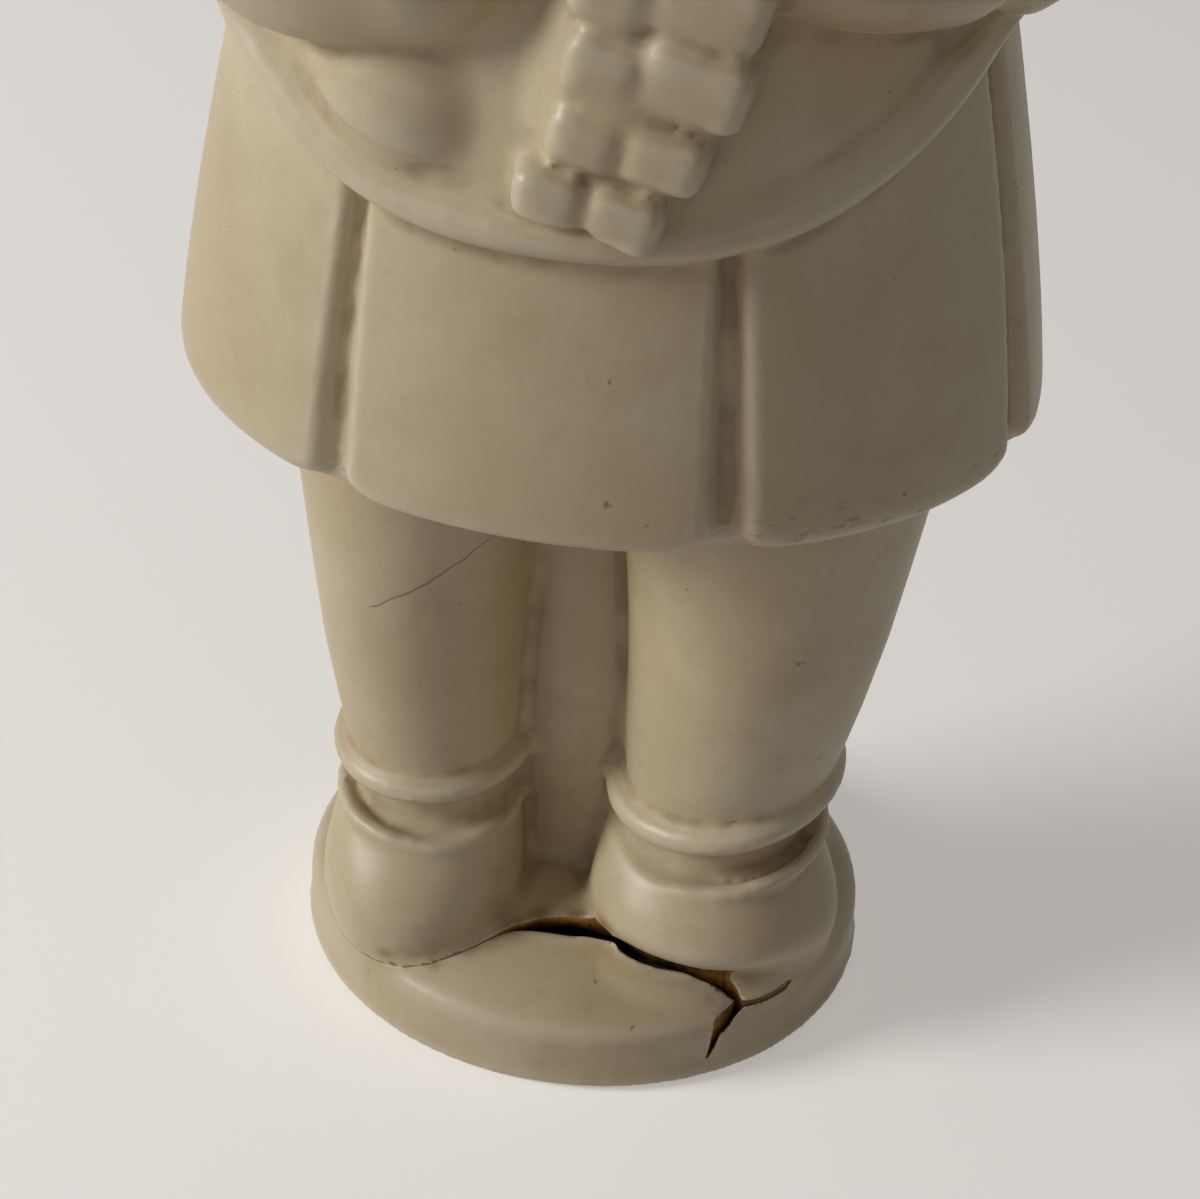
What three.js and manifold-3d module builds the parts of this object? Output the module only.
// A hollow moulded souvenir figurine: a child in a jacket, a pleated skirt, rolled socks and round shoes, standing on
// an oval plinth. The body is a front and a back shell cemented up the sides, and its open soles drop over raised
// rims on the plinth. The head is two shells on a flanged neck plug, trapped between the body shells, and turns.
// Millimetres, +Z up. The child faces -Y, and its left hand is on the +X side.
// The origin is the middle of the plinth's underside.
import * as THREE from "three";
import { mergeVertices } from "three/addons/utils/BufferGeometryUtils.js";
import Module from "manifold-3d";

const wasm = await Module();
wasm.setup();

// ---- Driving dimensions -------------------------------------------------------------------------------------
const WALL = 1.8; // moulded wall of every shell
const GAP = 0.3; // left between pieces at every seam, seat and running fit

const BASE_HALF_X = 35.5;
const BASE_HALF_Y = 31.2;
const BASE_HEIGHT = 13; // underside to crown; every height below is measured from the crown
const BASE_DOME = 4.2; // how far the crown rises above the top of the plinth's wall
const BASE_BEAD = 0.5; // bead round the plinth's foot
const SHOE_SETBACK = 1.2; // least distance of the shoes from the plinth's outside
const PLATE_THICK = 1.6;
const PLATE_LEDGE = 1.2; // ledge inside the plinth that the closing plate is cemented against
const VENT_RADIUS = 1.5; // moulding vent in the closing plate
const VENT_Y = 18;
const RIM_HEIGHT = 4; // rims on the crown that locate the shoes' open soles
const CRACK_WIDTH = 1.4; // split in the plinth's front wall
const CRACK_X = 21;

const KNEE_HEIGHT = 41;
const SOCK_HEIGHT = 17; // middle of the rolled sock cuff
const SOCK_ROLL = 1.5; // radius of the roll
const SHOE_HEIGHT = 10.5;
const SHOE_SIDE = 3; // height of the shoe's upright side
const HEM_HEIGHT = 71.5; // skirt's lower edge
const WAIST_HEIGHT = 121;
const JACKET_HEIGHT = 103.2; // jacket's lower edge at the front
const JACKET_RISE = 22; // how much higher that edge is at the sides
const CHEST_HEIGHT = 136;
const SHOULDER_HEIGHT = 152;
const NECK_HEIGHT = 163; // flat seat that the head turns on

const HEM_HALF_X = 47.3;
const HEM_HALF_Y = 37.4;
const WAIST_HALF_X = 37;
const WAIST_HALF_Y = 30.5;
const SHOULDER_HALF_X = 33;
const SHOULDER_HALF_Y = 22;
const JACKET_STAND = 2.6; // how far the jacket's edge stands off the skirt

const PLEATS = 7;
const PLEAT_TURN = -3; // degrees that the front panel's middle is turned from straight ahead
const PLEAT_DEPTH = 1.3;

const LEG_X = 19.4; // each leg's middle, from the middle of the figure
const RIGHT_LEG_HALF = 11.3; // the child's right leg, on the -X side, at the knee
const LEFT_LEG_HALF = 13.1;
const WEB_FRONT = -4; // front of the recessed web between the legs
const SHOE_Y = -8.8;
const SHOE_HALF_Y = 15.8;

const SLEEVE_RADIUS = 11.5;
const FINGER_HALF = 3.5; // half height of one knuckle block of the closed hand
const HAND_Y = -35.6; // middle of the knuckles

const NECK_BORE = 7; // holes in the neck seat and in the head for the plug
const NECK_SEAT = 2.4; // thickness of the neck seat
const NECK_RADIUS = 10;
const NECK_SHOWN = 5; // height of the neck between collar and chin
const FLANGE_REACH = 3.4; // how far the plug's flange goes under the seat
const FLANGE_THICK = 2;
const COLLAR_THICK = 1.5; // plug's collar between the seat and the head
const PLUG_BORE = 4;
const SPIGOT = 9; // plug's length inside the head

const HEAD_HALF_X = 24.5; // face and skull
const HEAD_HALF_Y = 24.5;
const HEAD_HALF_Z = 28;
const HAIR_THICK = 3.5;
const FRINGE_HEIGHT = 12; // the fringe's edge above the head's middle
const FACE_HALF_X = 16.5; // half width of the face between the hair's edges
const HEAD_SEAM_Y = 3; // the head's front and back shells meet here

// ---- Shared helpers -----------------------------------------------------------------------------------------
const SEGMENTS = 36;
const BIG = 400; // larger than the whole figure

function solidOf(geometry) {
  geometry.deleteAttribute("normal");
  geometry.deleteAttribute("uv");
  const merged = mergeVertices(geometry, 1e-4);
  const corners = merged.index.array;
  const faces = [];
  for (let i = 0; i < corners.length; i += 3) {
    const [a, b, c] = corners.slice(i, i + 3);
    if (a !== b && b !== c && c !== a) faces.push(a, b, c);
  }
  const vertProperties = merged.attributes.position.array;
  return new wasm.Manifold(new wasm.Mesh({ numProp: 3, vertProperties, triVerts: new Uint32Array(faces) }));
}

// A closed solid through level oval rings, lowest first: { z, halfX, halfY, x, y }.
// reshape(point, ring, row) may move each point of the finished surface.
function ovalSolid(rings, reshape = () => {}, segments = SEGMENTS) {
  const top = rings.length - 1;
  const profile = rings.map((ring, row) => new THREE.Vector2(1, row));
  profile.unshift(new THREE.Vector2(0, 0));
  profile.push(new THREE.Vector2(0, top));
  const geometry = new THREE.LatheGeometry(profile, segments).rotateX(Math.PI / 2);
  const points = geometry.attributes.position;
  const point = new THREE.Vector3();
  for (let i = 0; i < points.count; i++) {
    point.fromBufferAttribute(points, i);
    const row = Math.round(point.z);
    const { z, halfX, halfY, x = 0, y = 0 } = rings[row];
    point.set(x + halfX * point.x, y + halfY * point.y, z);
    reshape(point, rings[row], row);
    points.setXYZ(i, point.x, point.y, point.z);
  }
  return solidOf(geometry);
}

// The same rings moved in by a wall; the lowest and highest rings also move in along Z unless told not to.
function inset(rings, wall, low = wall, high = wall) {
  return rings.map((ring, row) => {
    const lift = row === 0 ? low : row === rings.length - 1 ? -high : 0;
    return { ...ring, halfX: ring.halfX - wall, halfY: ring.halfY - wall, z: ring.z + lift };
  });
}

function ellipsoid(x, y, z, halfX, halfY, halfZ, segments) {
  const geometry = new THREE.SphereGeometry(1, segments, segments / 2).rotateX(Math.PI / 2);
  return solidOf(geometry.scale(halfX, halfY, halfZ).translate(x, y, z));
}

function box(lowX, lowY, lowZ, highX, highY, highZ) {
  const geometry = new THREE.BoxGeometry(highX - lowX, highY - lowY, highZ - lowZ);
  return solidOf(geometry.translate((lowX + highX) / 2, (lowY + highY) / 2, (lowZ + highZ) / 2));
}

function rod(x, y, lowZ, highZ, radius, segments = SEGMENTS) {
  const geometry = new THREE.CylinderGeometry(radius, radius, highZ - lowZ, segments).rotateX(Math.PI / 2);
  return solidOf(geometry.translate(x, y, (lowZ + highZ) / 2));
}

// A round-ended limb between two points.
function limb(from, to, radius) {
  const along = new THREE.Vector3().subVectors(to, from);
  const geometry = new THREE.CapsuleGeometry(radius, along.length(), 4, 14);
  const turn = new THREE.Quaternion().setFromUnitVectors(new THREE.Vector3(0, 1, 0), along.clone().normalize());
  geometry.applyQuaternion(turn).translate(...from.clone().add(to).divideScalar(2));
  return solidOf(geometry);
}

function join(solids) {
  return solids.reduce((whole, solid) => whole.add(solid));
}

function frontHalf(solid, seamY) {
  return solid.intersect(box(-BIG, -BIG, -BIG, BIG, seamY - GAP / 2, BIG));
}

function backHalf(solid, seamY) {
  return solid.intersect(box(-BIG, seamY + GAP / 2, -BIG, BIG, BIG, BIG));
}

// ---- Plinth -------------------------------------------------------------------------------------------------
const CROWN = BASE_HEIGHT;
const EDGE = CROWN - BASE_DOME; // height of the plinth's upper edge

// The plinth's outside, grown by a margin all round: a beaded wall under a cushion-shaped crown.
function plinthRings(margin) {
  const ring = (z, inward) => ({ z, halfX: BASE_HALF_X + margin - inward, halfY: BASE_HALF_Y + margin - inward });
  const dome = [0.95, 0.88, 0.78, 0.6, 0.35, 0.1].map((share) => {
    const { halfX, halfY } = ring(0, BASE_BEAD);
    return { z: EDGE + margin + BASE_DOME * (1 - share ** 4), halfX: halfX * share, halfY: halfY * share };
  });
  return [ring(-margin, 0), ring(1.6, 0), ring(2.2, BASE_BEAD), ring(EDGE + margin - 0.6, BASE_BEAD), ...dome];
}

// A shoe's footprint grown by a margin and raised into a solid. It follows the plinth's outside where it meets it.
function footOval(foot, margin, lowZ, highZ) {
  const size = { halfX: foot.halfX + margin, halfY: SHOE_HALF_Y + margin, x: foot.x, y: SHOE_Y };
  const room = { halfX: BASE_HALF_X - SHOE_SETBACK + margin, halfY: BASE_HALF_Y - SHOE_SETBACK + margin };
  const print = ovalSolid([{ ...size, z: lowZ }, { ...size, z: highZ }]);
  return print.intersect(ovalSolid([{ ...room, z: lowZ - 1 }, { ...room, z: highZ + 1 }]));
}

const FEET = [
  { x: -LEG_X + 0.5, halfX: RIGHT_LEG_HALF + 0.6, legHalf: RIGHT_LEG_HALF, thighGrow: 3.4, legY: -3, side: -1 },
  { x: LEG_X - 1.3, halfX: LEFT_LEG_HALF + 2.2, legHalf: LEFT_LEG_HALF, thighGrow: 4.4, legY: -4, side: 1 },
];

function makeBaseShell() {
  const rims = FEET.map((foot) => footOval(foot, -WALL - GAP, EDGE, CROWN + RIM_HEIGHT));
  const ledgeTop = PLATE_THICK + GAP + PLATE_LEDGE;
  const hollow = ovalSolid(plinthRings(-WALL)).intersect(box(-BIG, -BIG, ledgeTop, BIG, BIG, BIG));
  const ledgeHole = plateSolid(-PLATE_LEDGE, -1, ledgeTop + 1);
  const pocket = plateSolid(0, -1, PLATE_THICK + GAP);
  const soles = FEET.map((foot) => footOval(foot, -2 * WALL - GAP, 0, BIG));
  return join([ovalSolid(plinthRings(0)), ...rims]).subtract(join([hollow, ledgeHole, pocket, ...soles, crackWedge()]));
}

// The plate that closes the plinth from below, grown by a margin.
function plateSolid(margin, lowZ, highZ) {
  const size = { halfX: BASE_HALF_X - WALL + margin, halfY: BASE_HALF_Y - WALL + margin };
  return ovalSolid([{ ...size, z: lowZ }, { ...size, z: highZ }]);
}

function makeBasePlate() {
  return plateSolid(-GAP, 0, PLATE_THICK).subtract(rod(0, VENT_Y, -1, PLATE_THICK + 1, VENT_RADIUS, 24));
}

// The split runs from the left shoe's sole out over the plinth's edge and down its wall.
function crackWedge() {
  const reach = BASE_HALF_Y + 2;
  return box(CRACK_X - CRACK_WIDTH / 2, -reach, 1.4, CRACK_X + CRACK_WIDTH / 2, -BASE_HALF_Y / 2 - 8, CROWN + 1);
}

// ---- Body ---------------------------------------------------------------------------------------------------
const HEM = CROWN + HEM_HEIGHT;
const JACKET = CROWN + JACKET_HEIGHT;
const SEAT = CROWN + NECK_HEIGHT;

function between(low, high, share) {
  return low + (high - low) * share;
}

// The skirt's oval at a share of the way from hem to waist: it hangs nearly straight, then draws in.
function skirtRing(share) {
  const draw = share ** 1.25;
  return {
    z: between(HEM, CROWN + WAIST_HEIGHT, share),
    halfX: between(HEM_HALF_X, WAIST_HALF_X, draw),
    halfY: between(HEM_HALF_Y, WAIST_HALF_Y, draw),
  };
}

function skirtRings() {
  const lip = { z: HEM, halfX: HEM_HALF_X - 2, halfY: HEM_HALF_Y - 2 };
  return [lip, ...[0.04, 0.1, 0.28, 0.5, 0.75, 1].map(skirtRing)];
}

// Draws a skirt point in at each pleat, after crowding the points towards the pleats.
function pleat(point, ring) {
  const turn = THREE.MathUtils.degToRad(PLEAT_TURN);
  let angle = Math.atan2(point.x / ring.halfX, -point.y / ring.halfY) - turn;
  angle += (0.62 * Math.sin(PLEATS * angle)) / PLEATS;
  const groove = Math.max(0, -Math.cos(PLEATS * angle) - 0.8) / 0.2;
  const depth = PLEAT_DEPTH * groove;
  point.x = (ring.halfX - depth) * Math.sin(angle + turn);
  point.y = -(ring.halfY - depth) * Math.cos(angle + turn);
}

function jacketRings() {
  const low = skirtRing((JACKET - HEM) / (WAIST_HEIGHT + CROWN - HEM));
  const stand = (z, out) => ({ z, halfX: low.halfX + out - 1, halfY: low.halfY + out });
  return [
    stand(JACKET, JACKET_STAND / 2),
    stand(JACKET + 2, JACKET_STAND),
    stand(JACKET + 5, JACKET_STAND * 0.8),
    { z: CROWN + CHEST_HEIGHT, halfX: 37, halfY: WAIST_HALF_Y + 1 },
    { z: CROWN + SHOULDER_HEIGHT - 6, halfX: SHOULDER_HALF_X + 1, halfY: SHOULDER_HALF_Y + 3 },
    { z: CROWN + SHOULDER_HEIGHT, halfX: SHOULDER_HALF_X - 3, halfY: SHOULDER_HALF_Y - 1 },
    { z: SEAT - 3, halfX: NECK_RADIUS + 10, halfY: NECK_RADIUS + 6 },
    { z: SEAT, halfX: NECK_RADIUS + 3, halfY: NECK_RADIUS + 3 },
  ];
}

// Lifts the jacket's lower edge towards the sides.
function liftSides(point, ring, row) {
  if (row > 2) return;
  point.z += JACKET_RISE * Math.abs(point.x / ring.halfX) ** 3;
}

function legRings(foot) {
  const ring = (height, grow, out) => ({
    z: CROWN + height,
    halfX: foot.legHalf + grow,
    halfY: foot.legHalf + grow + 0.8,
    x: foot.side * (LEG_X - 0.5 + out),
    y: foot.legY,
  });
  return [ring(-4, -1, -1.5), ring(SOCK_HEIGHT, -0.4, -1.2), ring(KNEE_HEIGHT, 0.8, 0.4), ring(HEM_HEIGHT + 4, foot.thighGrow, 1.4)];
}

function sockRoll(foot) {
  const leg = legRings(foot)[1];
  const ring = (step, out) => ({ ...leg, z: leg.z + step, halfX: leg.halfX + out, halfY: leg.halfY + out });
  return ovalSolid([ring(-SOCK_ROLL, 0.2), ring(-SOCK_ROLL / 2, 1.2), ring(SOCK_ROLL / 2, 1.2), ring(SOCK_ROLL, 0.2)]);
}

function shoe(foot, wall) {
  const widest = CROWN + SHOE_SIDE;
  const size = [foot.halfX - wall, SHOE_HALF_Y - wall, SHOE_HEIGHT - SHOE_SIDE - wall];
  const upper = ellipsoid(foot.x, SHOE_Y, widest, ...size, 24);
  const room = footOval(foot, -wall, EDGE, CROWN + SHOE_HEIGHT);
  return footOval(foot, -wall, EDGE, widest).add(upper.intersect(room));
}

function web(wall) {
  const ring = (height) => ({ z: CROWN + height, halfX: 9 - wall, halfY: 8 - wall, y: WEB_FRONT + 8 });
  return ovalSolid([ring(-4), ring(HEM_HEIGHT + 4)], undefined, 16);
}

const ARMS = [
  { shoulder: [-27, 0, 148], elbow: [-33, -8, 133], wrist: [-13, -29, 128] },
  { shoulder: [27, 0, 148], elbow: [33, -8, 137], wrist: [12, -28, 139] },
];

function armSolids(wall) {
  return ARMS.flatMap(({ shoulder, elbow, wrist }) => {
    const joints = [shoulder, elbow, wrist].map(([x, y, z]) => new THREE.Vector3(x, y, z + CROWN));
    const radius = SLEEVE_RADIUS - wall;
    return [limb(joints[0], joints[1], radius), limb(joints[1], joints[2], radius - 2)];
  });
}

// The closed hand on the jacket's front: two knuckle blocks on each of four fingers, stepped to the side.
function handSolids() {
  const knuckles = [];
  for (let finger = 0; finger < 4; finger++) {
    const z = CROWN + 111.5 + finger * 2 * (FINGER_HALF - 0.3);
    const x = finger * 1.9;
    for (const step of [0, 7]) {
      knuckles.push(ellipsoid(x + step, HAND_Y, z, FINGER_HALF + 0.6, 4.6, FINGER_HALF, 10));
    }
  }
  return [ellipsoid(6, HAND_Y + 4, CROWN + 122, 10, 7, 14, 14), ...knuckles];
}

function makeBody() {
  const legs = FEET.map((foot) => ovalSolid(legRings(foot), undefined, 24));
  const outside = join([
    ovalSolid(skirtRings(), pleat, PLEATS * 8),
    ovalSolid(jacketRings(), liftSides),
    ...legs,
    ...FEET.map(sockRoll),
    ...FEET.map((foot) => shoe(foot, 0)),
    web(0),
    ...armSolids(0),
    ...handSolids(),
  ]);
  const hollow = join([
    ovalSolid(inset(skirtRings(), WALL + PLEAT_DEPTH)),
    ovalSolid(inset(jacketRings(), WALL + 0.8, WALL, NECK_SEAT), liftSides),
    ...FEET.map((foot) => ovalSolid(inset(legRings(foot), WALL, -4, 0), undefined, 24)),
    ...FEET.map((foot) => shoe(foot, WALL)),
    web(WALL),
    ...armSolids(WALL),
  ]);
  const bore = rod(0, 0, SEAT - 20, SEAT + 5, NECK_BORE);
  const rimRoom = FEET.map((foot) => footOval(foot, -WALL, EDGE, CROWN + RIM_HEIGHT + GAP));
  return outside.subtract(join([hollow, bore, ...rimRoom, ovalSolid(plinthRings(GAP))]));
}

// ---- Head ---------------------------------------------------------------------------------------------------
const HEAD_FOOT = SEAT + GAP + COLLAR_THICK + GAP; // lower end of the head's neck
const CHIN = HEAD_FOOT + NECK_SHOWN;
const HEAD_Z = CHIN + HEAD_HALF_Z;

function skull(wall) {
  return ellipsoid(0, 0, HEAD_Z, HEAD_HALF_X - wall, HEAD_HALF_Y - wall, HEAD_HALF_Z - wall, 28);
}

// Bobbed hair: a cap round the skull, open over the face below the fringe.
function hair(wall) {
  const reach = HAIR_THICK - wall;
  const cap = ellipsoid(0, 1, HEAD_Z + 1, HEAD_HALF_X + reach, HEAD_HALF_Y + reach - 0.5, HEAD_HALF_Z + reach - 1, 28);
  const half = FACE_HALF_X + wall;
  const face = box(-half, -BIG, 0, half, wall - 2, HEAD_Z + FRINGE_HEIGHT + wall);
  const under = box(-BIG, -BIG, 0, BIG, BIG, CHIN + 1 + wall);
  return cap.subtract(face).subtract(under);
}

function makeHead() {
  const nose = ellipsoid(0, -HEAD_HALF_Y, HEAD_Z - 4, 2.4, 2.6, 3, 12);
  const neck = rod(0, 0, HEAD_FOOT, CHIN + 8, NECK_RADIUS);
  const outside = join([skull(0), hair(0), nose, neck]);
  const bore = rod(0, 0, HEAD_FOOT - 1, HEAD_Z, NECK_BORE);
  return outside.subtract(skull(WALL).add(hair(WALL))).subtract(bore);
}

// Turned about the neck's axis: flange under the seat, waist in its bore, collar on top, spigot in the head.
function makeNeckPlug() {
  const waist = NECK_BORE - GAP;
  const flangeTop = SEAT - NECK_SEAT - GAP;
  const collarLow = SEAT + GAP;
  const outline = [
    [PLUG_BORE, flangeTop - FLANGE_THICK],
    [waist + FLANGE_REACH, flangeTop - FLANGE_THICK],
    [waist + FLANGE_REACH, flangeTop],
    [waist, flangeTop],
    [waist, collarLow],
    [NECK_RADIUS, collarLow],
    [NECK_RADIUS, collarLow + COLLAR_THICK],
    [waist, collarLow + COLLAR_THICK],
    [waist, HEAD_FOOT + SPIGOT],
    [PLUG_BORE, HEAD_FOOT + SPIGOT],
    [PLUG_BORE, flangeTop - FLANGE_THICK],
  ];
  const profile = outline.map(([radius, z]) => new THREE.Vector2(radius, z));
  return solidOf(new THREE.LatheGeometry(profile, SEGMENTS).rotateX(Math.PI / 2));
}

// ---- Assembly -----------------------------------------------------------------------------------------------
const figurine = new THREE.Group();

function addPiece(name, solid, color, roughness) {
  const { vertProperties, triVerts } = solid.getMesh();
  const geometry = new THREE.BufferGeometry();
  geometry.setAttribute("position", new THREE.BufferAttribute(vertProperties, 3));
  geometry.setIndex(new THREE.BufferAttribute(triVerts, 1));
  geometry.computeVertexNormals();
  const mesh = new THREE.Mesh(geometry, new THREE.MeshStandardMaterial({ color, roughness, metalness: 0 }));
  mesh.name = name;
  figurine.add(mesh);
}

const IVORY = "#c9bda2";
const body = makeBody();
const head = makeHead();
addPiece("base_shell", makeBaseShell(), IVORY, 0.45);
addPiece("base_plate", makeBasePlate(), "#b9ac90", 0.55);
addPiece("body_front_shell", frontHalf(body, 0), IVORY, 0.45);
addPiece("body_back_shell", backHalf(body, 0), IVORY, 0.45);
addPiece("neck_plug", makeNeckPlug(), "#a89a7c", 0.5);
addPiece("head_front_shell", frontHalf(head, HEAD_SEAM_Y), IVORY, 0.45);
addPiece("head_back_shell", backHalf(head, HEAD_SEAM_Y), IVORY, 0.45);

export default figurine;
